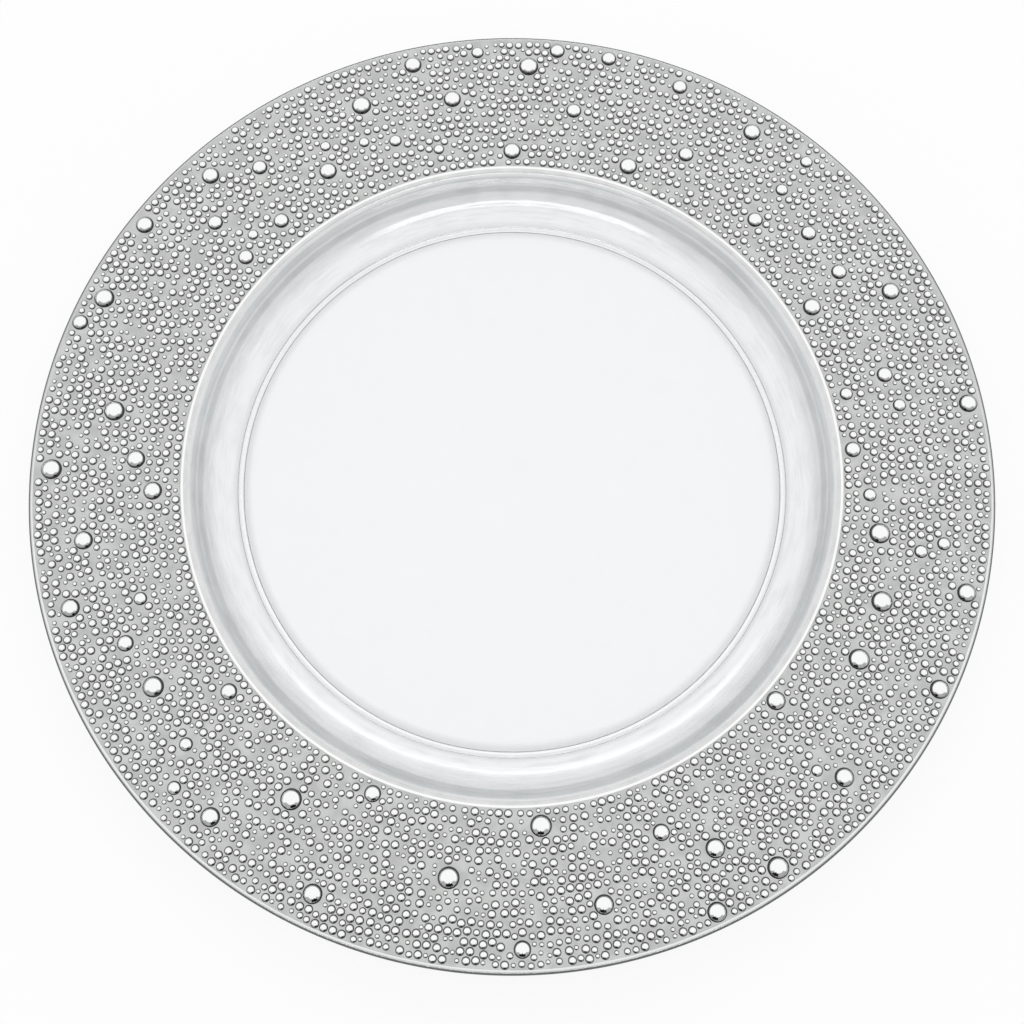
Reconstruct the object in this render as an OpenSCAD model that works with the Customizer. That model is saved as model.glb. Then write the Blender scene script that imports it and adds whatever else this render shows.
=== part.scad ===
// Round charger plate of clear pressed glass, with a silvered rim covered in raised silver beads.
// Lengths are in millimetres. The origin is the centre of the face that the foot ring rests on, and +Z is up.
// Angles run anticlockwise from +X, seen from above. The side towards -Y is the front.

/* [Plate] */
// Outer diameter of the plate
plate_d = 330; // [300:1:360]
// Thickness of the glass in the floor, the wall and the rim
glass_t = 3.8; // [3.2:0.1:4.6]
// Rounding of the rim's outer edge, above and below
edge_round = 1.7; // [1:0.1:2.2]

/* [Foot] */
// Outer diameter of the foot ring
foot_d = 194.7; // [184:0.1:197]
// Width of the foot ring
foot_w = 2.2; // [1.6:0.1:4]
// How far the foot ring stands below the floor
foot_h = 0.9; // [0.5:0.1:2]
// Rounding of the foot ring's corners
foot_round = 0.35; // [0.1:0.05:0.6]

/* [Well] */
// Depth of the well, from the shoulder down to the floor
well_depth = 12.9; // [9:0.1:16]
// Slope of the wall above the level
wall_angle = 50; // [44:1:58]
// Radius of the curve between the floor and the wall
well_round = 12; // [8:0.5:13]
// Radius of the curve between the floor and the wall, on the underside
under_round = 14; // [8:0.5:16]

/* [Rim] */
// Diameter at the shoulder, where the wall meets the rim
shoulder_d = 224.6; // [215:0.2:232]
// Rounding of the shoulder
shoulder_round = 3.4; // [1.6:0.1:5]
// Slope of the rim above the level, rising outwards
rim_angle = 3; // [1:0.5:6]

/* [Silver layer] */
// Thickness of the silver layer
layer_t = 0.15; // [0.1:0.01:0.3]
// Share of the shoulder's rounding that the silver layer goes over, from the rim inwards
wrap_share = 0.8; // [0:0.1:1]
// Clear glass left between the silver layer and the plate's outer edge
outer_margin = 1.8; // [1.4:0.1:4]

/* [Scattered beads] */
// Level silver left between the shoulder's rounding and the first beads
inner_margin = 0.12; // [0:0.02:1]
// Diameter of the largest beads
largest_bead_d = 7.1; // [6.8:0.1:7.6]
// Diameter of the large beads
large_bead_d = 6.4; // [6:0.1:6.7]
// Diameter of the middle beads
middle_bead_d = 5.6; // [5.2:0.1:5.9]
// Diameter of the lesser beads
lesser_bead_d = 4.6; // [4.3:0.1:5]
// Diameter of the least of the scattered beads
least_bead_d = 3.9; // [3.6:0.1:4.2]

/* [Field of small beads] */
// Diameter of the small beads, which make up most of the field
small_bead_d = 2.9; // [2.6:0.1:3.2]
// Diameter of the fine beads
fine_bead_d = 2.3; // [2:0.1:2.5]
// Diameter of the seed beads
seed_bead_d = 1.6; // [1.3:0.1:1.9]
// Least gap between any two beads
bead_gap = 0.14; // [0.1:0.02:0.4]
// Distance from one row of the field to the next
row_pitch = 3.05; // [2.9:0.05:4]
// Distance from bead to bead along a row
bead_pitch = 3.02; // [2.9:0.02:4]
// How far a bead of the field may stray from its row before the field settles
stray = 1; // [0:0.1:1.2]

/* [Dome shape] */
// Height of a bead as a share of its radius
dome_rise_share = 0.62; // [0.5:0.01:0.9]

/* [Hidden] */

// How far cutting solids reach past what they cut
overrun = 0.5;
// Facets round a dome and round the plate, for the quick mesh
dome_facets = 24;
plate_facets = 180;
// Steps in each rounded corner of an outline
corner_steps = 10;

// Levels and radii of the plate
plate_r = plate_d / 2;
foot_r = foot_d / 2;
shoulder_r = shoulder_d / 2;
floor_z = foot_h + glass_t;
crest_z = floor_z + well_depth;
wall_rise = tan(wall_angle);
rim_rise = tan(rim_angle);
well_corner_r = shoulder_r - well_depth / wall_rise;
under_corner_r = well_corner_r + glass_t / sin(wall_angle) - glass_t / wall_rise;
under_crest_z = crest_z - glass_t / cos(rim_angle);
neck_r = (under_crest_z - shoulder_r * rim_rise - foot_h + under_corner_r * wall_rise) / (wall_rise - rim_rise);

// Height of the glass at a radius on the rim, on its top face and on its underside
function rim_z(r) = crest_z + (r - shoulder_r) * rim_rise;
function under_z(r) = under_crest_z + (r - shoulder_r) * rim_rise;
// Height of the silver layer's top face at a radius on the rim, and its top face over the shoulder's rounding
function layer_z(r) = rim_z(r) + layer_t / cos(rim_angle);
function coated(k) =
    let (lean = rim_angle + (wall_angle - rim_angle) * k / corner_steps)
    shoulder_arc[k] + layer_t * [-sin(lean), cos(lean)];

// Rounded outlines. Each corner is [radius from the axis, height, rounding].
function flat(c) = [c.x, c.y];
function unit(v) = v / norm(v);
function turn_of(a, b, c) = acos(max(-1, min(1, unit(flat(b) - flat(a)) * unit(flat(c) - flat(b)))));
function share_of(r, other) = r + other == 0 ? 0 : r / (r + other);
// Length that a corner's rounding takes from each of its two edges, and may take beside its neighbours' roundings
function wanted(a, b, c) = b.z * tan(turn_of(a, b, c) / 2);
function allowed(a, b, c) = min(
    norm(flat(b) - flat(a)) * share_of(b.z, a.z),
    norm(flat(c) - flat(b)) * share_of(b.z, c.z)
);
function corner_arc(a, b, c) =
    let (
        reach = min(wanted(a, b, c), allowed(a, b, c)),
        turn = turn_of(a, b, c),
        into = unit(flat(b) - flat(a)),
        out = unit(flat(c) - flat(b)),
        start = flat(b) - into * reach,
        side = into.x * out.y - into.y * out.x > 0 ? 1 : -1,
        r = reach / tan(turn / 2),
        centre = start + side * r * [-into.y, into.x]
    )
    [for (k = [0:corner_steps])
        let (t = turn * k / corner_steps)
        centre + side * r * (sin(t) * side * into - cos(t) * [-into.y, into.x])];
function corner(a, b, c) = b.z > 0 && turn_of(a, b, c) > 0 ? corner_arc(a, b, c) : [flat(b)];
function rounded(corners) = [
    for (i = [0:len(corners) - 1])
        each corner(
            corners[(i + len(corners) - 1) % len(corners)],
            corners[i],
            corners[(i + 1) % len(corners)]
        )
];

// The shoulder's rounding, point by point from the rim down to the wall
shoulder_arc = corner_arc(
    [plate_r, rim_z(plate_r), edge_round],
    [shoulder_r, crest_z, shoulder_round],
    [well_corner_r, floor_z, well_round]
);
wrap_steps = round(corner_steps * wrap_share);

// The silver layer's outer end, and the ring that holds the beads
layer_out_r = plate_r - outer_margin;
field_in_r = shoulder_arc[0].x + inner_margin;
field_w = layer_out_r - field_in_r;

module glass_plate() {
    color([0.86, 0.9, 0.9, 0.45])
    rotate_extrude($fn = plate_facets)
    polygon(rounded([
        [0, foot_h, 0],
        [foot_r - foot_w, foot_h, foot_round],
        [foot_r - foot_w, 0, foot_round],
        [foot_r, 0, foot_round],
        [foot_r, foot_h, foot_round],
        [under_corner_r, foot_h, under_round],
        [neck_r, under_z(neck_r), shoulder_round + glass_t],
        [plate_r, under_z(plate_r), edge_round],
        [plate_r, rim_z(plate_r), edge_round],
        [shoulder_r, crest_z, shoulder_round],
        [well_corner_r, floor_z, well_round],
        [0, floor_z, 0]
    ]));
}

module silver_layer() {
    color([0.74, 0.75, 0.76])
    rotate_extrude($fn = plate_facets)
    polygon(concat(
        [for (k = [wrap_steps:-1:0]) shoulder_arc[k]],
        [[layer_out_r, rim_z(layer_out_r)], [layer_out_r, layer_z(layer_out_r)]],
        [for (k = [0:wrap_steps]) coated(k)]
    ));
}

// Scattered beads: each place is [angle in degrees, share of the beaded ring's width from its inner edge].
largest_place_shares = [
    [87.7, 0.79], [111.9, 0.685], [156.8, 0.86], [171.6, 0.51], [180.3, 0.88], [212.3, 0.525], [237.2, 0.365],
    [261.5, 0.465], [274.5, 0.115], [302.7, 0.875], [330.3, 0.375], [339.5, 0.37], [349.6, 0.26]
];
large_place_shares = [
    [8.2, 0.92], [25.7, 0.7], [29.1, 0.15], [55.3, 0.8], [69.6, 0.145], [90, 0.115], [98.9, 0.56],
    [103.4, 0.885], [120.9, 0.32], [135, 0.81], [145.7, 0.91], [178.6, 0.31], [183.7, 0.185], [190, 0.67],
    [198.3, 0.835], [230.2, 0.765], [245.7, 0.81], [281.5, 0.66], [294, 0.925], [297.3, 0.57],
    [316, 0.725], [317.7, 0.075], [331.7, 0.925], [344, 0.895]
];
middle_place_shares = [
    [3.3, 0.075], [14.5, 0.41], [31.8, 0.46], [39.3, 0.47], [46.6, 0.265], [61.8, 0.4], [66.9, 0.87],
    [77.1, 0.93], [80.5, 0.47], [84, 0.93], [129.1, 0.625], [132, 0.2], [139.5, 0.525], [140.6, 0.18],
    [160.9, 0.94], [205.2, 0.565], [219.2, 0.135], [247.5, 0.085], [271.2, 0.875], [291.6, 0.335]
];
lesser_place_shares = [
    [9.5, 0.45], [13, 0.11], [46.8, 0.57], [47, 0.855], [94.6, 0.91], [109, 0.335],
    [200, 0.375], [221.3, 0.56], [224.5, 0.795], [348, 0.55], [349.6, 0.695], [355.6, 0.175]
];
least_place_shares = [[102.5, 0.185], [113.7, 0.405], [119.3, 0.5], [137, 0.26], [314.2, 0.57]];

// Turns a list of places into beads, each [x, y, radius]
function placed(shares, d) = [
    for (s = shares)
        let (r = field_in_r + field_w * s.y)
        [r * cos(s.x), r * sin(s.x), d / 2]
];
scattered = concat(
    placed(largest_place_shares, largest_bead_d),
    placed(large_place_shares, large_bead_d),
    placed(middle_place_shares, middle_bead_d),
    placed(lesser_place_shares, lesser_bead_d),
    placed(least_place_shares, least_bead_d)
);

// The field of small beads: rows round the rim, loosened at random, then settled until no two touch.
// What share of the field is seed beads, and what share is fine beads
seed_share = 0.19;
fine_share = 0.3;
// Share of its own radius by which a bead's place must clear a scattered bead for it to be laid at all
shy_share = 0.3;
scatter_seed = 29;
settle_rounds = 9;
// Share of an overlap that a bead gives way to another of the field in one round
give_share = 0.45;
// Share of its way out of a margin that a bead of the field goes in one round
return_share = 0.5;

first_row_r = field_in_r + small_bead_d / 2;
last_row_r = layer_out_r - small_bead_d / 2;
row_gaps = max(1, round((last_row_r - first_row_r) / row_pitch));
row_step = (last_row_r - first_row_r) / row_gaps;
function row_r(i) = first_row_r + row_step * i;
function row_n(i) = floor(2 * PI * row_r(i) / bead_pitch);
// Rows take turns to start level, a sixth of a bead further on and a third further on
function row_shift(i) = (i % 3) / 6;
function field_r(u) = (u < seed_share ? seed_bead_d : u < seed_share + fine_share ? fine_bead_d : small_bead_d) / 2;

// Scattered beads that come near a row, and those near one bead
function near_row(i) = [
    for (s = scattered)
        if (abs(norm(flat(s)) - row_r(i)) < s.z + small_bead_d + stray) s
];
function near_bead(b, list) = [for (s = list) if (norm(flat(s) - flat(b)) < s.z + small_bead_d + stray) s];
function is_free(b, list) = len([for (s = list) if (norm(flat(s) - flat(b)) < s.z + b.z * shy_share) s]) == 0;

// How far off its row a bead is laid. The inner row keeps its radius, and the outer row strays inwards only.
function off_row(i, chance) = stray * (i == 0 ? 0 : i == row_gaps ? -abs(chance) : chance);

// A row as first laid. A place under a scattered bead holds a bead of no size, so that places keep their order.
function laid_row(i) =
    let (
        n = row_n(i),
        chance = rands(-1, 1, 3 * n, scatter_seed + i),
        close = near_row(i)
    )
    [for (k = [0:n - 1])
        let (
            a = 360 * (k + row_shift(i)) / n,
            r = row_r(i) + off_row(i, chance[3 * k]),
            along = stray * chance[3 * k + 1] * 180 / (PI * row_r(i)),
            size = field_r((chance[3 * k + 2] + 1) / 2),
            b = [r * cos(a + along), r * sin(a + along), size]
        )
        is_free(b, close) ? b : [b.x, b.y, 0]];

// Beads of a row and of its neighbours that may touch bead k of row i
function around(rows, i, k, depth) = [
    for (j = [max(0, i - depth):min(row_gaps, i + depth)])
        let (
            n = len(rows[j]),
            at = floor((k + row_shift(i)) * n / len(rows[i]) - row_shift(j) + 1 / 2)
        )
        for (m = [at - 2:at + 2])
            let (other = rows[j][(m + n) % n])
            if (other.z > 0 && !(j == i && m == k)) other
];
function push(b, other, share) =
    let (away = flat(b) - flat(other), d = norm(away), over = b.z + other.z + bead_gap - d)
    over > 0 && d > 0 ? away / d * over * share : [0, 0];
function total(list) = len(list) == 0 ? [0, 0] : [for (v = list) 1] * list;
// How a bead goes back when it has strayed over the field's inner or outer margin
function pull_back(b) =
    let (r = norm(flat(b)), low = field_in_r + b.z, high = layer_out_r - b.z)
    flat(b) / r * return_share * (r < low ? low - r : r > high ? high - r : 0);

function settled(rows, fixed, rounds) =
    rounds == 0 ? rows :
    settled(
        [for (i = [0:row_gaps])
            [for (k = [0:len(rows[i]) - 1])
                let (b = rows[i][k])
                b.z == 0 ? b :
                let (
                    moved = flat(b)
                        + total([for (o = around(rows, i, k, 1)) push(b, o, give_share)])
                        + total([for (s = fixed[i][k]) push(b, s, 1)])
                        + pull_back(b)
                )
                [moved.x, moved.y, b.z]]],
        fixed, rounds - 1
    );

// Room for a bead once the field has settled, and the largest size that fits it, or none
function room(rows, fixed, i, k) =
    let (b = rows[i][k], r = norm(flat(b)))
    min(concat(
        [r - field_in_r, layer_out_r - r],
        [for (o = concat(around(rows, i, k, 2), fixed[i][k])) norm(flat(o) - flat(b)) - o.z - bead_gap]
    ));
function fitted(size, room) =
    let (fits = [for (d = [small_bead_d, fine_bead_d, seed_bead_d]) if (d / 2 <= min(size, room) + slack) d / 2])
    len(fits) == 0 ? 0 : fits[0];
// Overlap of the wanted gap that is let pass
slack = bead_gap / 4;

laid = [for (i = [0:row_gaps]) laid_row(i)];
fixed_near = [for (i = [0:row_gaps]) let (close = near_row(i)) [for (b = laid[i]) near_bead(b, close)]];
settled_rows = settled(laid, fixed_near, settle_rounds);
field = [
    for (i = [0:row_gaps]) for (k = [0:len(settled_rows[i]) - 1])
        let (b = settled_rows[i][k])
        if (b.z > 0) [b.x, b.y, fitted(b.z, room(settled_rows, fixed_near, i, k))]
];

// One bead: a cap of a ball, flat underneath
module dome(d) {
    rise = d / 2 * dome_rise_share;
    ball_r = (d * d / 4 + rise * rise) / (2 * rise);
    intersection() {
        translate([0, 0, rise - ball_r]) sphere(r = ball_r, $fn = dome_facets);
        translate([-d / 2 - overrun, -d / 2 - overrun, 0])
            cube([d + 2 * overrun, d + 2 * overrun, rise + overrun]);
    }
}

// Beads seated square on the silver layer
module seated(beads) {
    for (b = beads)
        let (r = norm(flat(b)))
        translate([b.x, b.y, layer_z(r)])
        rotate([0, 0, atan2(b.y, b.x)])
        rotate([0, -rim_angle, 0])
        dome(2 * b.z);
}

module scattered_beads(shares, d) {
    color([0.93, 0.94, 0.95]) seated(placed(shares, d));
}

// Beads of one size in one quarter of the field. Quarter 0 lies between +X and +Y, and the rest follow round.
module field_beads(d, quarter) {
    color([0.88, 0.89, 0.9])
    seated([
        for (b = field)
            if (abs(2 * b.z - d) < slack && floor((atan2(b.y, b.x) + 360) % 360 / 90) == quarter) b
    ]);
}

glass_plate();
silver_layer();
scattered_beads(largest_place_shares, largest_bead_d);  // largest_beads
scattered_beads(large_place_shares, large_bead_d);  // large_beads
scattered_beads(middle_place_shares, middle_bead_d);  // middle_beads
scattered_beads(lesser_place_shares, lesser_bead_d);  // lesser_beads
scattered_beads(least_place_shares, least_bead_d);  // least_beads
field_beads(small_bead_d, 0);  // small_beads_back_right
field_beads(small_bead_d, 1);  // small_beads_back_left
field_beads(small_bead_d, 2);  // small_beads_front_left
field_beads(small_bead_d, 3);  // small_beads_front_right
field_beads(fine_bead_d, 0);  // fine_beads_back_right
field_beads(fine_bead_d, 1);  // fine_beads_back_left
field_beads(fine_bead_d, 2);  // fine_beads_front_left
field_beads(fine_bead_d, 3);  // fine_beads_front_right
field_beads(seed_bead_d, 0);  // seed_beads_back_right
field_beads(seed_bead_d, 1);  // seed_beads_back_left
field_beads(seed_bead_d, 2);  // seed_beads_front_left
field_beads(seed_bead_d, 3);  // seed_beads_front_right
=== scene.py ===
"""Looks, light and camera for a round glass charger plate with a silvered, beaded rim.

Lengths are in metres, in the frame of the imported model: the foot ring rests on Z = 0, the Z axis is the
plate's own, and the front is towards -Y. The glass, the silver layer and the beads are drawn again here
with smooth shading, at the radii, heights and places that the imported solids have. The glass, the layer
and the scattered beads get more faces than they have there, and the field's many small beads get fewer.
"""

import logging
import math
from collections.abc import Sequence
from dataclasses import dataclass, field
from enum import Enum
from typing import ClassVar

import bpy
import numpy as np
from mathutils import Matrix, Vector


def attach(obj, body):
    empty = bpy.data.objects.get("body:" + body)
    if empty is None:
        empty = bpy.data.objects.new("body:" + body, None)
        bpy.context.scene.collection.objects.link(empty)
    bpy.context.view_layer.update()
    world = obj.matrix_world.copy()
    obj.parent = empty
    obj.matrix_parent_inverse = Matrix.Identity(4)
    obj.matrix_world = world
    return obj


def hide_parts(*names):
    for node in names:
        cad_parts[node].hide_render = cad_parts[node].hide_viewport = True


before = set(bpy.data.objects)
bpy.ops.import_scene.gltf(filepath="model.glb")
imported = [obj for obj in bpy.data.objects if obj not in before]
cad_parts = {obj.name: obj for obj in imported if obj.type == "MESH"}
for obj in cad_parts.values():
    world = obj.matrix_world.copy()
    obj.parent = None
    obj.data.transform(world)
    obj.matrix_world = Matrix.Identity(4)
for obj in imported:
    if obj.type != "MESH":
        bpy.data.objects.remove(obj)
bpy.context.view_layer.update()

LOG = logging.getLogger("charger_plate")
MM = 0.001
# Two coordinates that differ by less are the same
SAME = 0.001 * MM
WHITE = (1.0, 1.0, 1.0, 1.0)
# The sockets that a Mix node uses for colours
MIX_FACTOR, MIX_LOW, MIX_HIGH, MIX_RESULT = 0, 6, 7, 2
Colour = tuple[float, float, float, float]
Inputs = dict[str | int, object]
Span = tuple[float, float]
Corner = tuple[float, float, float]


class BeadGrade(Enum):
    """How finely the domes of a group are drawn, as (segments round, rings up)."""

    SCATTERED = (64, 16)
    FIELD = (20, 6)
    SEED = (16, 5)


class Value:
    """An output socket of a node tree, on which Python's operators add Math nodes."""

    def __init__(self, tree: "Tree", socket: bpy.types.NodeSocket) -> None:
        """Holds a socket.

        Args:
            tree: The tree that the socket's node is in.
            socket: The output socket.
        """
        self.tree = tree
        self.socket = socket

    def _math(self, operation: str, *operands: "Value | float") -> "Value":
        """Adds one Math node.

        Args:
            operation: The Math node's operation.
            operands: What goes into its inputs, in order.

        Returns:
            The node's output.
        """
        return self.tree.node("ShaderNodeMath", {"operation": operation}, dict(enumerate(operands)))

    def __add__(self, other: "Value | float") -> "Value":
        """The sum."""
        return self._math("ADD", self, other)

    def __radd__(self, other: float) -> "Value":
        """The sum, from the right."""
        return self._math("ADD", other, self)

    def __sub__(self, other: "Value | float") -> "Value":
        """The difference."""
        return self._math("SUBTRACT", self, other)

    def __rsub__(self, other: float) -> "Value":
        """The difference, from the right."""
        return self._math("SUBTRACT", other, self)

    def __mul__(self, other: "Value | float") -> "Value":
        """The product."""
        return self._math("MULTIPLY", self, other)

    def __rmul__(self, other: float) -> "Value":
        """The product, from the right."""
        return self._math("MULTIPLY", other, self)

    def __truediv__(self, other: "Value | float") -> "Value":
        """The quotient."""
        return self._math("DIVIDE", self, other)

    def __rtruediv__(self, other: float) -> "Value":
        """The quotient, from the right."""
        return self._math("DIVIDE", other, self)

    def __neg__(self) -> "Value":
        """The value with its sign turned."""
        return self._math("MULTIPLY", self, -1.0)

    def __abs__(self) -> "Value":
        """The value without its sign."""
        return self._math("ABSOLUTE", self)

    def ramp(self, low: float, high: float) -> "Value":
        """A smooth step over the value.

        Args:
            low: Where the step starts, at 0.
            high: Where it ends, at 1.

        Returns:
            The step, from 0 to 1.
        """
        settings = {"interpolation_type": "SMOOTHSTEP"}
        inputs = {"Value": self, "From Min": low, "From Max": high}
        return self.tree.node("ShaderNodeMapRange", settings, inputs)


class Tree:
    """A node tree of a material or of the world, to which nodes are added."""

    def __init__(self, owner: bpy.types.Material | bpy.types.World) -> None:
        """Takes the owner's tree and empties it.

        Args:
            owner: The material or world.
        """
        owner.use_nodes = True
        self.nodes = owner.node_tree.nodes
        self.links = owner.node_tree.links
        self.nodes.clear()

    def node(
        self,
        kind: str,
        settings: dict[str, object] | None = None,
        inputs: Inputs | None = None,
        output: str | int = 0,
    ) -> Value:
        """Adds a node.

        Args:
            kind: The node's type.
            settings: Its properties, which are set first.
            inputs: Values or links, by the name or the number of the socket.
            output: Which output is wanted.

        Returns:
            That output, or no socket where the node has none.
        """
        made = self.nodes.new(kind)
        for name, setting in (settings or {}).items():
            setattr(made, name, setting)
        for name, given in (inputs or {}).items():
            if isinstance(given, Value):
                self.links.new(given.socket, made.inputs[name])
            else:
                made.inputs[name].default_value = given
        return Value(self, made.outputs[output]) if made.outputs else Value(self, None)

    def places(self) -> Value:
        """The place on the piece, in metres."""
        return self.node("ShaderNodeTexCoord", output="Object")

    def ray(self, kind: str) -> Value:
        """Whether a ray is of a kind, such as Camera or Glossy: 1 where it is, and otherwise 0."""
        return self.node("ShaderNodeLightPath", output=f"Is {kind} Ray")

    def parts(self, vector: Value, names: str) -> list[Value]:
        """Takes parts of a vector.

        Args:
            vector: The vector.
            names: The letters of the parts.

        Returns:
            Those parts, in that order.
        """
        inputs = {"Vector": vector}
        return [self.node("ShaderNodeSeparateXYZ", inputs=inputs, output=name) for name in names]

    def upright(self) -> Value:
        """How far the surface faces up: 1 where it is level, 0 where it stands."""
        return self.parts(self.node("ShaderNodeNewGeometry", output="Normal"), "Z")[0]

    def radius(self) -> Value:
        """The distance from the axis."""
        x, y = self.parts(self.places(), "XY")
        return self.node("ShaderNodeMath", {"operation": "SQRT"}, {0: x * x + y * y})

    def rings(self, width: float, breaks: float) -> Value:
        """Finds a place for patterns that run round the axis.

        Args:
            width: Width of the pattern's rings.
            breaks: How often a ring changes along one radian.

        Returns:
            The place.
        """
        x, y = self.parts(self.places(), "XY")
        radius = self.radius()
        scaled = {"X": x * breaks / radius, "Y": y * breaks / radius, "Z": radius * (1 / width)}
        return self.node("ShaderNodeCombineXYZ", inputs=scaled)

    def noise(self, size: float, detail: float = 2.0, place: Value | None = None) -> Value:
        """Soft noise over the piece.

        Args:
            size: Width of its largest patches.
            detail: How many finer layers it has.
            place: Where the noise is read, if not at the place on the piece.

        Returns:
            The noise, about 0.5.
        """
        inputs = {"Vector": place or self.places(), "Scale": 1 / size, "Detail": detail}
        return self.node("ShaderNodeTexNoise", inputs=inputs)

    def bump(self, height: Value, depth: float) -> Value:
        """A bumped normal.

        Args:
            height: Height of the surface, from 0 to 1.
            depth: What a height of 1 stands for, in metres.

        Returns:
            The normal.
        """
        return self.node("ShaderNodeBump", inputs={"Height": height, "Distance": depth, "Strength": 1.0})

    def mix(self, factor: Value, low: Value | Colour, high: Value | Colour) -> Value:
        """A mix of two colours.

        Args:
            factor: 0 for the first and 1 for the second.
            low: The first colour.
            high: The second colour.

        Returns:
            The mixed colour.
        """
        inputs = {MIX_FACTOR: factor, MIX_LOW: low, MIX_HIGH: high}
        return self.node("ShaderNodeMix", {"data_type": "RGBA"}, inputs, MIX_RESULT)

    def surface(self, shader: Value, kind: str = "ShaderNodeOutputMaterial") -> None:
        """Joins a shader to the tree's output.

        Args:
            shader: The shader.
            kind: The type of the output node.
        """
        self.node(kind, inputs={"Surface": shader})


@dataclass(frozen=True)
class Band:
    """A ring on the plate with soft edges, which are set out from two radii of the plate."""

    rise: Span
    fall: Span
    share: float = 1.0

    def on(self, radius: Value, inner: float, outer: float) -> Value:
        """Finds how far a place lies in the band.

        Args:
            radius: The place's distance from the axis.
            inner: The radius that the band's rise is set out from.
            outer: The radius that its fall is set out from.

        Returns:
            0 outside the band, and the band's share inside it.
        """
        risen = radius.ramp(inner + self.rise[0], inner + self.rise[1])
        fallen = radius.ramp(outer + self.fall[0], outer + self.fall[1])
        return risen * (1 - fallen) * self.share


@dataclass(frozen=True)
class ClearGlass:
    """Pressed clear glass, fire polished, with the faint waves of a moulded surface and rings of painted
    shade.
    """

    name: str = "clear_glass"
    tint: Colour = (0.965, 0.975, 0.983, 1.0)
    # Painted shade: the grey that the rings of painted shade below tint the glass towards
    wall_shade: Colour = (0.45, 0.475, 0.48, 1.0)
    # Painted shade along the outer edge, standing in for the shade seen through the rounded edge
    edge_shade: Colour = (0.4, 0.41, 0.415, 1.0)
    index: float = 1.5
    wave_size: float = 16 * MM
    wave_detail: float = 0.0
    wave_depth: float = 0.012 * MM
    ring_width: float = 1.6 * MM
    ring_depth: float = 0.035 * MM
    ring_breaks: float = 9.0
    # Rings of painted shade: two beside the foot ring, painted dark streaks on the wall's curve, and two
    # below the rim
    halo: Band = Band((-4.2 * MM, -0.7 * MM), (-0.6 * MM, -0.2 * MM), 0.35)
    ring: Band = Band((0.3 * MM, 0.9 * MM), (0.3 * MM, 2.2 * MM), 0.32)
    curve: Band = Band((-8 * MM, -5 * MM), (0.0, 1 * MM))
    upper: Band = Band((-0.5 * MM, 2.9 * MM), (0.0, 1 * MM), 0.32)
    line: Band = Band((-2.6 * MM, -1.7 * MM), (-0.9 * MM, -0.2 * MM), 0.55)
    streak_blend: Span = (0.4, 0.7)
    streak_share: float = 0.18
    # Width of the painted shade at the outer edge, and of its soft inner end
    edge_width: float = 0.95 * MM
    edge_blend: float = 0.3 * MM

    def material(self, foot: Span, wall: Span, outer: float) -> bpy.types.Material:
        """Makes the glass, with painted shade beside the foot ring, on the wall, below the rim and at the
        edge.

        Args:
            foot: The inner and outer radius of the foot ring's flat face.
            wall: The radii where the wall's straight begins and ends.
            outer: Radius of the plate.

        Returns:
            The material.
        """
        made = bpy.data.materials.new(self.name)
        tree = Tree(made)
        radius = tree.radius()
        streaks = tree.noise(1.0, place=tree.rings(self.ring_width, self.ring_breaks))
        curve = self.curve.on(radius, *wall)
        # Painted shade in streaks along the wall's curve, where the same streaks also bump the surface
        painted_streaks = curve * streaks.ramp(*self.streak_blend) * self.streak_share
        beside_foot = self.halo.on(radius, foot[0], foot[0]) + self.ring.on(radius, *foot)
        top = wall[1]
        # All the painted shade of the rings, as a share of wall_shade
        shade = beside_foot + self.upper.on(radius, *wall) + self.line.on(radius, top, top) + painted_streaks
        # Painted shade at the outer edge
        edge = radius.ramp(outer - self.edge_width, outer - self.edge_width + self.edge_blend)
        plain = tree.mix(shade, self.tint, self.wall_shade)
        waves = tree.noise(self.wave_size, self.wave_detail) * (self.wave_depth / self.ring_depth)
        shader = tree.node(
            "ShaderNodeBsdfPrincipled",
            inputs={
                "Base Color": tree.mix(edge, plain, self.edge_shade),
                "Roughness": 0.0,
                "IOR": self.index,
                "Transmission Weight": 1.0,
                "Normal": tree.bump(waves + streaks * curve, self.ring_depth),
            },
        )
        tree.surface(shader)
        return made


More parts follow.
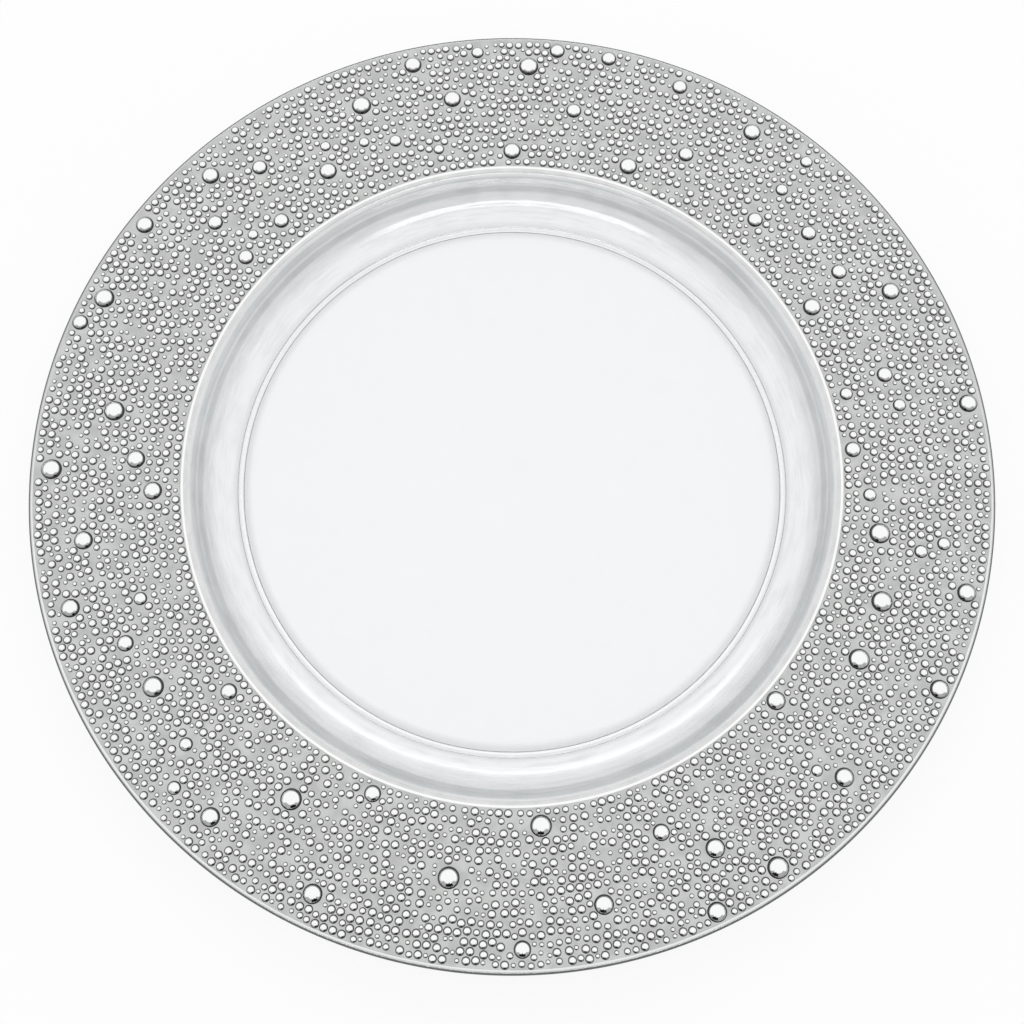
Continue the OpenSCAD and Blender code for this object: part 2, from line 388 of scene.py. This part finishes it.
@dataclass(frozen=True)
class SilverCoat:
    """Soft silver between the beads, with faint patches, a fine grain and a painted highlight round the
    shoulder.
    """

    name: str = "silver_coat"
    bright: Colour = (0.62, 0.63, 0.622, 1.0)
    dull: Colour = (0.5, 0.508, 0.502, 1.0)
    # Painted highlight: a bright line round the shoulder, where a light would glint
    shoulder_highlight: Colour = (0.97, 0.975, 0.97, 1.0)
    highlight_width: float = 0.8 * MM
    highlight_blend: float = 0.25 * MM
    rounding_share: float = 0.4
    patch_size: float = 6 * MM
    patch_detail: float = 3.0
    patch_blend: Span = (0.3, 0.7)
    grain_size: float = 0.5 * MM
    grain_depth: float = 0.002 * MM
    smooth: float = 0.2
    rough: float = 0.32

    def material(self, shoulder: float) -> bpy.types.Material:
        """Makes the coat, with a painted highlight as a bright line round the shoulder.

        Args:
            shoulder: Radius where the rounding of the shoulder meets the rim.

        Returns:
            The material.
        """
        made = bpy.data.materials.new(self.name)
        tree = Tree(made)
        patches = tree.noise(self.patch_size, self.patch_detail)
        radius = tree.radius()
        # Painted highlight: faint inside the shoulder, full in a thin line just before the rim begins
        line = radius.ramp(shoulder - self.highlight_width - self.highlight_blend, shoulder - self.highlight_width)
        rounding = 1 - radius.ramp(shoulder - self.highlight_blend, shoulder)
        shoulder_highlight = rounding * (self.rounding_share + line * (1 - self.rounding_share))
        plain = tree.mix(patches.ramp(*self.patch_blend), self.bright, self.dull)
        shader = tree.node(
            "ShaderNodeBsdfPrincipled",
            inputs={
                "Base Color": tree.mix(shoulder_highlight, plain, self.shoulder_highlight),
                "Metallic": 1.0,
                "Roughness": self.smooth + patches * (self.rough - self.smooth),
                "Normal": tree.bump(tree.noise(self.grain_size), self.grain_depth),
            },
        )
        tree.surface(shader)
        return made


@dataclass(frozen=True)
class BrightBead:
    """Bright silver of the beads, with painted shade in the crease where a bead meets the coat.

    The painted shade is found by how far the surface faces up. It fades out from the first value of its
    span to the second.
    """

    name: str
    bright: Colour = (0.94, 0.945, 0.945, 1.0)
    # Painted shade in the crease, standing in for the shade and dark reflections where a bead meets the
    # coat
    crease: Colour = (0.12, 0.12, 0.122, 1.0)
    crease_shade_blend: Span = (0.6, 0.75)
    polish: float = 0.05
    worn: float = 0.16
    patch_size: float = 2.5 * MM
    wave_depth: float = 0.012 * MM

    def material(self) -> bpy.types.Material:
        """Makes the bead silver.

        Returns:
            The material.
        """
        made = bpy.data.materials.new(self.name)
        tree = Tree(made)
        patches = tree.noise(self.patch_size)
        # Painted shade: 0 in the crease, rising to 1 where the bead faces up
        clear = tree.upright().ramp(*self.crease_shade_blend)
        shader = tree.node(
            "ShaderNodeBsdfPrincipled",
            inputs={
                "Base Color": tree.mix(clear, self.crease, self.bright),
                "Metallic": 1.0,
                "Roughness": self.polish + patches * (self.worn - self.polish),
                "Normal": tree.bump(patches, self.wave_depth),
            },
        )
        tree.surface(shader)
        return made


def points_of(node: str) -> np.ndarray:
    """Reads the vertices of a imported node.

    Args:
        node: The node's name.

    Returns:
        Rows of x, y and z.
    """
    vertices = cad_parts[node].data.vertices
    flat = np.empty(len(vertices) * 3)
    vertices.foreach_get("co", flat)
    return flat.reshape(-1, 3)


def edges_of(node: str) -> np.ndarray:
    """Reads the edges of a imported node.

    Args:
        node: The node's name.

    Returns:
        Pairs of vertex numbers.
    """
    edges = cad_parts[node].data.edges
    flat = np.empty(len(edges) * 2, dtype=int)
    edges.foreach_get("vertices", flat)
    return flat.reshape(-1, 2)


def merged(points: np.ndarray, grid: float = 0.002 * MM) -> tuple[np.ndarray, np.ndarray]:
    """Joins vertices that lie in one place.

    Args:
        points: Rows of coordinates.
        grid: How near two points are to be one.

    Returns:
        The separate points, and for each given point the number of the one it became.
    """
    keys = np.round(points / grid).astype(np.int64)
    _, first, number = np.unique(keys, axis=0, return_index=True, return_inverse=True)
    return points[first], number.reshape(-1)


def outline_of(node: str) -> np.ndarray:
    """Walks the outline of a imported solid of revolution, where its faces begin at the +X side.

    Args:
        node: The node's name.

    Returns:
        Rows of radius and height. An outline that meets the axis starts with its upper end there.
    """
    points, number = merged(points_of(node))
    on_seam = (np.abs(points[:, 1]) < SAME) & (points[:, 0] > 0)
    joined: dict[int, set[int]] = {int(i): set() for i in np.flatnonzero(on_seam)}
    for a, b in number[edges_of(node)]:
        if a != b and a in joined and b in joined:
            joined[int(a)].add(int(b))
            joined[int(b)].add(int(a))
    ends = [i for i, others in joined.items() if len(others) == 1]
    at = max(ends, key=lambda i: points[i, 2]) if ends else min(joined)
    walked = [at]
    while True:
        onward = sorted(joined[walked[-1]] - set(walked))
        if not onward:
            return points[walked][:, [0, 2]]
        walked.append(onward[0])


def straights(outline: np.ndarray, tolerance: float = 0.3) -> np.ndarray:
    """Joins the sides of an outline that run on in one line.

    Args:
        outline: Rows of radius and height.
        tolerance: The largest turn that still counts as straight, in degrees.

    Returns:
        For each straight, the radius and height of its two ends.
    """
    sides = np.diff(outline, axis=0)
    along = sides / np.linalg.norm(sides, axis=1)[:, None]
    agreement = (along[1:] * along[:-1]).sum(axis=1)
    turns = np.flatnonzero(agreement < math.cos(math.radians(tolerance))) + 1
    corners = outline[[0, *turns, len(sides)]]
    return np.stack([corners[:-1], corners[1:]], axis=1)


def new_mesh(
    name: str, points: np.ndarray, faces: Sequence[Sequence[int]], crease: float
) -> bpy.types.Mesh:
    """Makes a smooth mesh with sharp creases.

    Args:
        name: Its name.
        points: Its vertices.
        faces: Its faces, as lists of vertex numbers.
        crease: The angle between two faces above which their edge stays sharp, in degrees.

    Returns:
        The mesh.
    """
    mesh = bpy.data.meshes.new(name)
    mesh.from_pydata(points.tolist(), [], faces)
    mesh.validate()
    mesh.shade_smooth()
    mesh.set_sharp_from_angle(angle=math.radians(crease))
    return mesh


@dataclass
class Turning:
    """A solid of revolution about the plate's axis."""

    name: str
    outline: np.ndarray
    steps: int
    crease: float = 35.0
    axis_reach: float = 1 * MM

    def mesh(self) -> bpy.types.Mesh:
        """Turns the outline, which runs from axis to axis or closes on itself.

        Returns:
            The mesh.
        """
        meets_axis = self.outline[0, 0] < self.axis_reach
        ring = self.outline[1:-1] if meets_axis else self.outline
        count = len(ring)
        turn = np.arange(self.steps) * 2 * math.pi / self.steps
        points = np.empty((self.steps, count, 3))
        points[:, :, 0] = np.outer(np.cos(turn), ring[:, 0])
        points[:, :, 1] = np.outer(np.sin(turn), ring[:, 0])
        points[:, :, 2] = ring[:, 1]
        rows = points.reshape(-1, 3)
        spans = count - 1 if meets_axis else count
        faces = [
            (
                s * count + k,
                s * count + (k + 1) % count,
                (s + 1) % self.steps * count + (k + 1) % count,
                (s + 1) % self.steps * count + k,
            )
            for s in range(self.steps)
            for k in range(spans)
        ]
        if meets_axis:
            top, bottom = len(rows), len(rows) + 1
            rows = np.vstack([rows, [0, 0, self.outline[0, 1]], [0, 0, self.outline[-1, 1]]])
            for s in range(self.steps):
                here, there = s * count, (s + 1) % self.steps * count
                faces.append((top, here, there))
                faces.append((bottom, there + count - 1, here + count - 1))
        return new_mesh(self.name, rows, faces, self.crease)


@dataclass
class PlatePiece:
    """A visible piece of the plate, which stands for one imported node."""

    name: str
    node: str
    slot: str

    def show(self, mesh: bpy.types.Mesh, material: bpy.types.Material) -> bpy.types.Object:
        """Places the piece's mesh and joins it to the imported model.

        Args:
            mesh: The finished mesh.
            material: What it is made of.

        Returns:
            The piece.
        """
        mesh.materials.append(material)
        piece = bpy.data.objects.new(self.name, mesh)
        bpy.context.scene.collection.objects.link(piece)
        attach(piece, "root")
        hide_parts(self.node)
        LOG.info("%s stands for %s, with %d faces", self.name, self.node, len(mesh.polygons))
        return piece


@dataclass
class GlassPlate:
    """The pressed glass: well, foot ring, wall, shoulder and rim in one piece."""

    steps: int = 576
    floor_rings: int = 6
    steepness: float = 0.5
    straight: float = 3 * MM
    piece: PlatePiece = field(default_factory=lambda: PlatePiece("pressed_glass", "glass_plate", "glass"))

    def outline(self) -> np.ndarray:
        """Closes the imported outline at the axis, with a few rings on the flat floor.

        Returns:
            Rows of radius and height, from the floor's middle round to the underside's.
        """
        packed = outline_of(self.piece.node)
        share = np.linspace(0, 1, self.floor_rings, endpoint=False)[:, None]
        upper = np.hstack([share * packed[0, 0], np.full_like(share, packed[0, 1])])
        lower = np.hstack([share * packed[-1, 0], np.full_like(share, packed[-1, 1])])
        return np.vstack([upper, packed, lower[::-1]])

    def build(self, finish: ClearGlass) -> bpy.types.Object:
        """Makes the glass.

        Args:
            finish: Its finish.

        Returns:
            The piece.
        """
        turning = Turning(self.piece.name, self.outline(), self.steps)
        return self.piece.show(turning.mesh(), finish.material(self.foot(), self.wall(), self.outer()))

    def outer(self) -> float:
        """The plate's radius."""
        return float(outline_of(self.piece.node)[:, 0].max())

    def foot(self) -> Span:
        """Finds the flat face that the foot ring rests on.

        Returns:
            Its inner and outer radius.
        """
        radii, heights = outline_of(self.piece.node).T
        resting = radii[heights < heights.min() + SAME]
        return float(resting.min()), float(resting.max())

    def wall(self) -> Span:
        """Finds the straight of the well's wall on the upper side.

        Returns:
            Its radius at the foot and at the top.
        """
        found = straights(outline_of(self.piece.node))
        rise = found[:, 1, 1] - found[:, 0, 1]
        length = np.linalg.norm(found[:, 1] - found[:, 0], axis=1)
        foot, top = found[(rise > self.steepness * length) & (length > self.straight)][0]
        return float(foot[0]), float(top[0])


@dataclass
class SilverLayer:
    """The silver coat on the rim, which reaches into the glass, so that no two faces share a place."""

    sink: float = 0.03 * MM
    pair_reach: float = 0.12 * MM
    steps: int = 288
    piece: PlatePiece = field(default_factory=lambda: PlatePiece("silvered_rim", "silver_layer", "silver"))

    def outline(self) -> np.ndarray:
        """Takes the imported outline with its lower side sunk.

        Returns:
            Rows of radius and height.
        """
        packed = outline_of(self.piece.node)
        radii, heights = packed.T
        beside = np.abs(radii[:, None] - radii) < self.pair_reach
        lower = heights < np.where(beside, heights, -np.inf).max(axis=1) - self.sink
        packed[lower, 1] -= self.sink
        return packed

    def rim(self) -> Span:
        """Reads the rim off the longest straight of the outline.

        Returns:
            The rim's slope outwards, as rise over run, and the radius where it begins.
        """
        found = straights(outline_of(self.piece.node))
        first, last = found[np.argmax(np.linalg.norm(found[:, 1] - found[:, 0], axis=1))]
        run, rise = last - first
        return float(rise / run), float(min(first[0], last[0]))

    def build(self, finish: SilverCoat) -> bpy.types.Object:
        """Makes the coat.

        Args:
            finish: Its finish.

        Returns:
            The piece.
        """
        turning = Turning(self.piece.name, self.outline(), self.steps)
        return self.piece.show(turning.mesh(), finish.material(self.rim()[1]))


@dataclass
class Beads:
    """The places and sizes of a packed group of beads."""

    centres: np.ndarray
    axes: np.ndarray
    radii: np.ndarray
    heights: np.ndarray
    base_reach: ClassVar[float] = 0.02 * MM

    @classmethod
    def read(cls, node: str, slope: float) -> "Beads":
        """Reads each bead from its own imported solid.

        Args:
            node: The node's name.
            slope: Slope of the rim outwards, as rise over run.

        Returns:
            The beads.
        """
        points, number = merged(points_of(node))
        pairs = number[edges_of(node)]
        label = np.arange(len(points))
        while True:
            least = np.minimum(label[pairs[:, 0]], label[pairs[:, 1]])
            spread = label.copy()
            np.minimum.at(spread, pairs[:, 0], least)
            np.minimum.at(spread, pairs[:, 1], least)
            if np.array_equal(spread, label):
                break
            label = spread
        rows = []
        for solid in np.unique(label):
            own = points[label == solid]
            middle = own[:, :2].mean(axis=0)
            outward = middle / np.linalg.norm(middle)
            axis = np.array([*(-slope * outward), 1.0]) / math.hypot(slope, 1.0)
            level = own @ axis
            base = own[level < level.min() + cls.base_reach]
            centre = base.mean(axis=0)
            radius = np.linalg.norm(base - centre, axis=1).mean()
            rows.append((centre, axis, radius, level.max() - level.min()))
        return cls(*(np.array(column) for column in zip(*rows)))


@dataclass
class BeadGroup:
    """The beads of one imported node, which are all of one size."""

    node: str
    grade: BeadGrade
    sink: float = 0.03 * MM
    crease: float = 50.0

    def mesh(self, beads: Beads) -> bpy.types.Mesh:
        """Draws each bead as a smooth closed cap.

        Args:
            beads: Where they are and how large.

        Returns:
            The mesh.
        """
        segments, rings = self.grade.value
        ball = (beads.radii**2 + beads.heights**2) / (2 * beads.heights)
        reach = np.arcsin(np.minimum(beads.radii / ball, 1.0))
        tilt = reach[:, None] * (1 - np.arange(rings) / rings)
        ring_r = ball[:, None] * np.sin(tilt)
        ring_h = ball[:, None] * np.cos(tilt) - (ball - beads.heights)[:, None]
        ring_h[:, 0] -= self.sink
        turn = np.arange(segments) * 2 * math.pi / segments
        outward = beads.centres * [1, 1, 0]
        outward /= np.linalg.norm(outward, axis=1)[:, None]
        along = np.cross(beads.axes, outward)
        along /= np.linalg.norm(along, axis=1)[:, None]
        across = np.cross(along, beads.axes)
        spokes = (
            across[:, None, :] * np.cos(turn)[None, :, None]
            + along[:, None, :] * np.sin(turn)[None, :, None]
        )
        caps = (
            beads.centres[:, None, None, :]
            + ring_r[:, :, None, None] * spokes[:, None, :, :]
            + ring_h[:, :, None, None] * beads.axes[:, None, None, :]
        )
        tips = beads.centres + beads.heights[:, None] * beads.axes
        rows = np.concatenate([caps.reshape(len(tips), -1, 3), tips[:, None, :]], axis=1)
        faces = self._faces(segments, rings)
        each = rows.shape[1]
        every = [tuple(each * b + v for v in face) for b in range(len(tips)) for face in faces]
        return new_mesh(f"{self.node}_domes", rows.reshape(-1, 3), every, self.crease)

    @staticmethod
    def _faces(segments: int, rings: int) -> list[tuple[int, ...]]:
        """Lists the faces of one bead.

        Args:
            segments: Points in each ring.
            rings: Rings below the tip.

        Returns:
            The faces, as vertex numbers of that bead: the underside, the bands and the tip's fan.
        """
        following = [(s + 1) % segments for s in range(segments)]
        underside = [tuple(range(segments - 1, -1, -1))]
        bands = [
            (
                r * segments + s,
                r * segments + following[s],
                (r + 1) * segments + following[s],
                (r + 1) * segments + s,
            )
            for r in range(rings - 1)
            for s in range(segments)
        ]
        last = (rings - 1) * segments
        fan = [(last + s, last + following[s], rings * segments) for s in range(segments)]
        return underside + bands + fan

    def build(self, slope: float, material: bpy.types.Material) -> bpy.types.Object:
        """Makes the beads.

        Args:
            slope: Slope of the rim outwards.
            material: Their finish.

        Returns:
            The piece.
        """
        piece = PlatePiece(f"{self.node}_domes", self.node, "beads")
        return piece.show(self.mesh(Beads.read(self.node, slope)), material)


@dataclass
class BeadedRim:
    """All the beads of the rim, scattered ones and field, group by group."""

    large_finish: BrightBead = BrightBead("bright_bead")
    # The field's beads get a lighter and wider painted shade in their crease
    small_finish: BrightBead = BrightBead(
        "bright_field_bead", crease=(0.2, 0.2, 0.2, 1.0), crease_shade_blend=(0.64, 0.88)
    )

    def grade_of(self, node: str) -> BeadGrade:
        """Chooses how finely a group is drawn.

        Args:
            node: The group's node.

        Returns:
            The grade.
        """
        if node.startswith("seed"):
            return BeadGrade.SEED
        return BeadGrade.FIELD if node.startswith(("small", "fine")) else BeadGrade.SCATTERED

    def build(self, slope: float) -> list[bpy.types.Object]:
        """Makes every group of beads.

        Args:
            slope: Slope of the rim outwards, as rise over run.

        Returns:
            The pieces.
        """
        large, small = self.large_finish.material(), self.small_finish.material()
        made = []
        for node in sorted(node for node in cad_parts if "_beads" in node):
            grade = self.grade_of(node)
            material = large if grade is BeadGrade.SCATTERED else small
            made.append(BeadGroup(node, grade).build(slope, material))
        return made


@dataclass
class Studio:
    """A white floor, a white tent that is grey low at the front, a black card there, and the camera.

    The tent is described by how far a direction points up or to the front. Each span among the fields says
    where one of its changes begins and ends.
    """

    floor_reach: float = 3.0
    matt_white: float = 0.3
    shown_matt: float = 0.12
    shown_glow: float = 0.88
    mirrored_glow: float = 0.16
    seen_through_glow: float = 0.77
    # Painted shadow under the plate's rim, seen only through the glass
    painted_rim_shadow: Band = Band((15 * MM, 21 * MM), (-9.5 * MM, -1.5 * MM), 0.85)
    tent_white: float = 1.0
    front_grey: float = 0.42
    front_top: Span = (0.58, 0.68)
    front_ahead: Span = (0.3, 0.5)
    horizon_share: float = 0.2
    horizon_top: Span = (0.03, 0.16)
    horizon_front: float = 0.6
    horizon_ahead: Span = (0.5, 0.8)
    strip_white: float = 7.0
    strip_tilt: float = 0.1
    strip_foot: Span = (0.35, 0.4)
    strip_top: Span = (0.57, 0.63)
    strip_sides: Span = (0.4, 0.65)
    strip_back: Span = (-0.2, 0.2)
    strip_back_loss: float = 0.6
    card_width: float = 0.18
    card_foot: float = 0.03
    card_top: float = 0.14
    post_width: float = 0.04
    post_top: float = 0.195
    card_distance: float = 0.3
    card_black: Colour = (0.01, 0.01, 0.01, 1.0)
    camera_place: Vector = Vector((0.0, -0.1152, 0.4481))
    camera_aim: Vector = Vector((0.0, -0.01117, 0.0))
    camera_lens: float = 45.58

    def floor(self, shoulder: float, outer: float) -> bpy.types.Object:
        """Lays a white floor with a little shadow, and a painted shadow under the rim that only the glass
        shows.

        Args:
            shoulder: Radius where the plate's rim begins.
            outer: Radius of the plate.

        Returns:
            The floor.
        """
        material = bpy.data.materials.new("white_floor")
        tree = Tree(material)
        # Painted shadow: lower under the rim, where the glow seen through the glass falls away
        lit = 1 - self.painted_rim_shadow.on(tree.radius(), shoulder, outer)
        shown, mirrored, through = (tree.ray(kind) for kind in ("Camera", "Glossy", "Transmission"))
        glow = (
            shown * self.shown_glow
            + mirrored * (1 - through) * self.mirrored_glow
            + through * self.seen_through_glow * lit
        )
        white = self.matt_white + shown * (self.shown_matt - self.matt_white)
        matt = tree.node("ShaderNodeBsdfDiffuse", inputs={"Color": white})
        plain = tree.node("ShaderNodeEmission", inputs={"Color": WHITE, "Strength": glow})
        tree.surface(tree.node("ShaderNodeAddShader", inputs={0: matt, 1: plain}))
        reach = self.floor_reach
        corners = [(-reach, -reach, 0.0), (reach, -reach, 0.0), (reach, reach, 0.0), (-reach, reach, 0.0)]
        return self._sheet("floor", corners, material)

    def card(self) -> bpy.types.Object:
        """Hangs a black card with a post before the plate, which only the silver's reflections show.

        Returns:
            The card.
        """
        right_side = [
            (self.card_width / 2, self.card_foot),
            (self.card_width / 2, self.card_top),
            (self.post_width / 2, self.card_top),
            (self.post_width / 2, self.post_top),
        ]
        outline = right_side + [(-x, height) for x, height in reversed(right_side)]
        corners = [(x, -self.card_distance, height) for x, height in outline]
        material = bpy.data.materials.new("black_card")
        tree = Tree(material)
        black = tree.node("ShaderNodeBsdfDiffuse", inputs={"Color": self.card_black})
        unseen = tree.node("ShaderNodeBsdfTransparent")
        hidden = tree.ray("Camera") + tree.ray("Singular")
        tree.surface(tree.node("ShaderNodeMixShader", inputs={0: hidden, 1: black, 2: unseen}))
        return self._sheet("card", corners, material)

    @staticmethod
    def _sheet(name: str, corners: list[Corner], material: bpy.types.Material) -> bpy.types.Object:
        """Places a flat sheet of the studio, which isn't part of the plate.

        Args:
            name: Its name.
            corners: Its corners, in order.
            material: What it is made of.

        Returns:
            The sheet.
        """
        mesh = bpy.data.meshes.new(name)
        mesh.from_pydata(corners, [], [range(len(corners))])
        mesh.materials.append(material)
        made = bpy.data.objects.new(name, mesh)
        bpy.context.scene.collection.objects.link(made)
        return made

    def tent(self) -> None:
        """Lights the plate from a white tent, and shows plain white behind it.

        Only perfectly sharp reflections see the bright strip, which draws the white lines in the glass.
        """
        world = bpy.data.worlds.new("tent")
        bpy.context.scene.world = world
        tree = Tree(world)
        across, back, up = tree.parts(tree.node("ShaderNodeTexCoord", output="Generated"), "XYZ")
        ahead = -back
        front = ahead.ramp(*self.front_ahead) * (1 - up.ramp(*self.front_top))
        horizon = 1 - up.ramp(*self.horizon_top)
        horizon = horizon * (1 - ahead.ramp(*self.horizon_ahead) * self.horizon_front)
        tent = self.tent_white + front * (self.front_grey - self.tent_white)
        tent = tent * (1 - horizon * (1 - self.horizon_share))
        below_top = 1 - (up + ahead * self.strip_tilt).ramp(*self.strip_top)
        between_sides = 1 - abs(across).ramp(*self.strip_sides)
        strip = up.ramp(*self.strip_foot) * below_top * between_sides
        strip = strip * (1 - (1 - ahead.ramp(*self.strip_back)) * self.strip_back_loss)
        lit = tent + strip * tree.ray("Singular") * (self.strip_white - tent)
        strength = lit + tree.ray("Camera") * (1 - lit)
        tree.surface(
            tree.node("ShaderNodeBackground", inputs={"Color": WHITE, "Strength": strength}),
            "ShaderNodeOutputWorld",
        )

    def camera(self) -> bpy.types.Object:
        """Sets the camera where the plate is seen from.

        Returns:
            The camera.
        """
        data = bpy.data.cameras.new("camera")
        data.lens = self.camera_lens
        made = bpy.data.objects.new("camera", data)
        made.location = self.camera_place
        towards = self.camera_aim - self.camera_place
        made.rotation_euler = towards.to_track_quat("-Z", "Y").to_euler()
        bpy.context.scene.collection.objects.link(made)
        bpy.context.scene.camera = made
        return made

    def build(self, shoulder: float, outer: float) -> None:
        """Sets up the floor, the card, the tent and the camera.

        Args:
            shoulder: Radius where the plate's rim begins.
            outer: Radius of the plate.
        """
        self.floor(shoulder, outer)
        self.card()
        self.tent()
        self.camera()
        bpy.context.scene.view_settings.view_transform = "Standard"
        LOG.info("studio: floor, card, tent and camera in place")


def main() -> None:
    """Builds the plate, piece by piece, and the studio round it."""
    logging.basicConfig(level=logging.INFO, format="%(name)s: %(message)s")
    glass, layer = GlassPlate(), SilverLayer()
    glass.build(ClearGlass())
    layer.build(SilverCoat())
    slope, shoulder = layer.rim()
    BeadedRim().build(slope)
    Studio().build(shoulder, glass.outer())


if __name__ == "__main__":
    main()
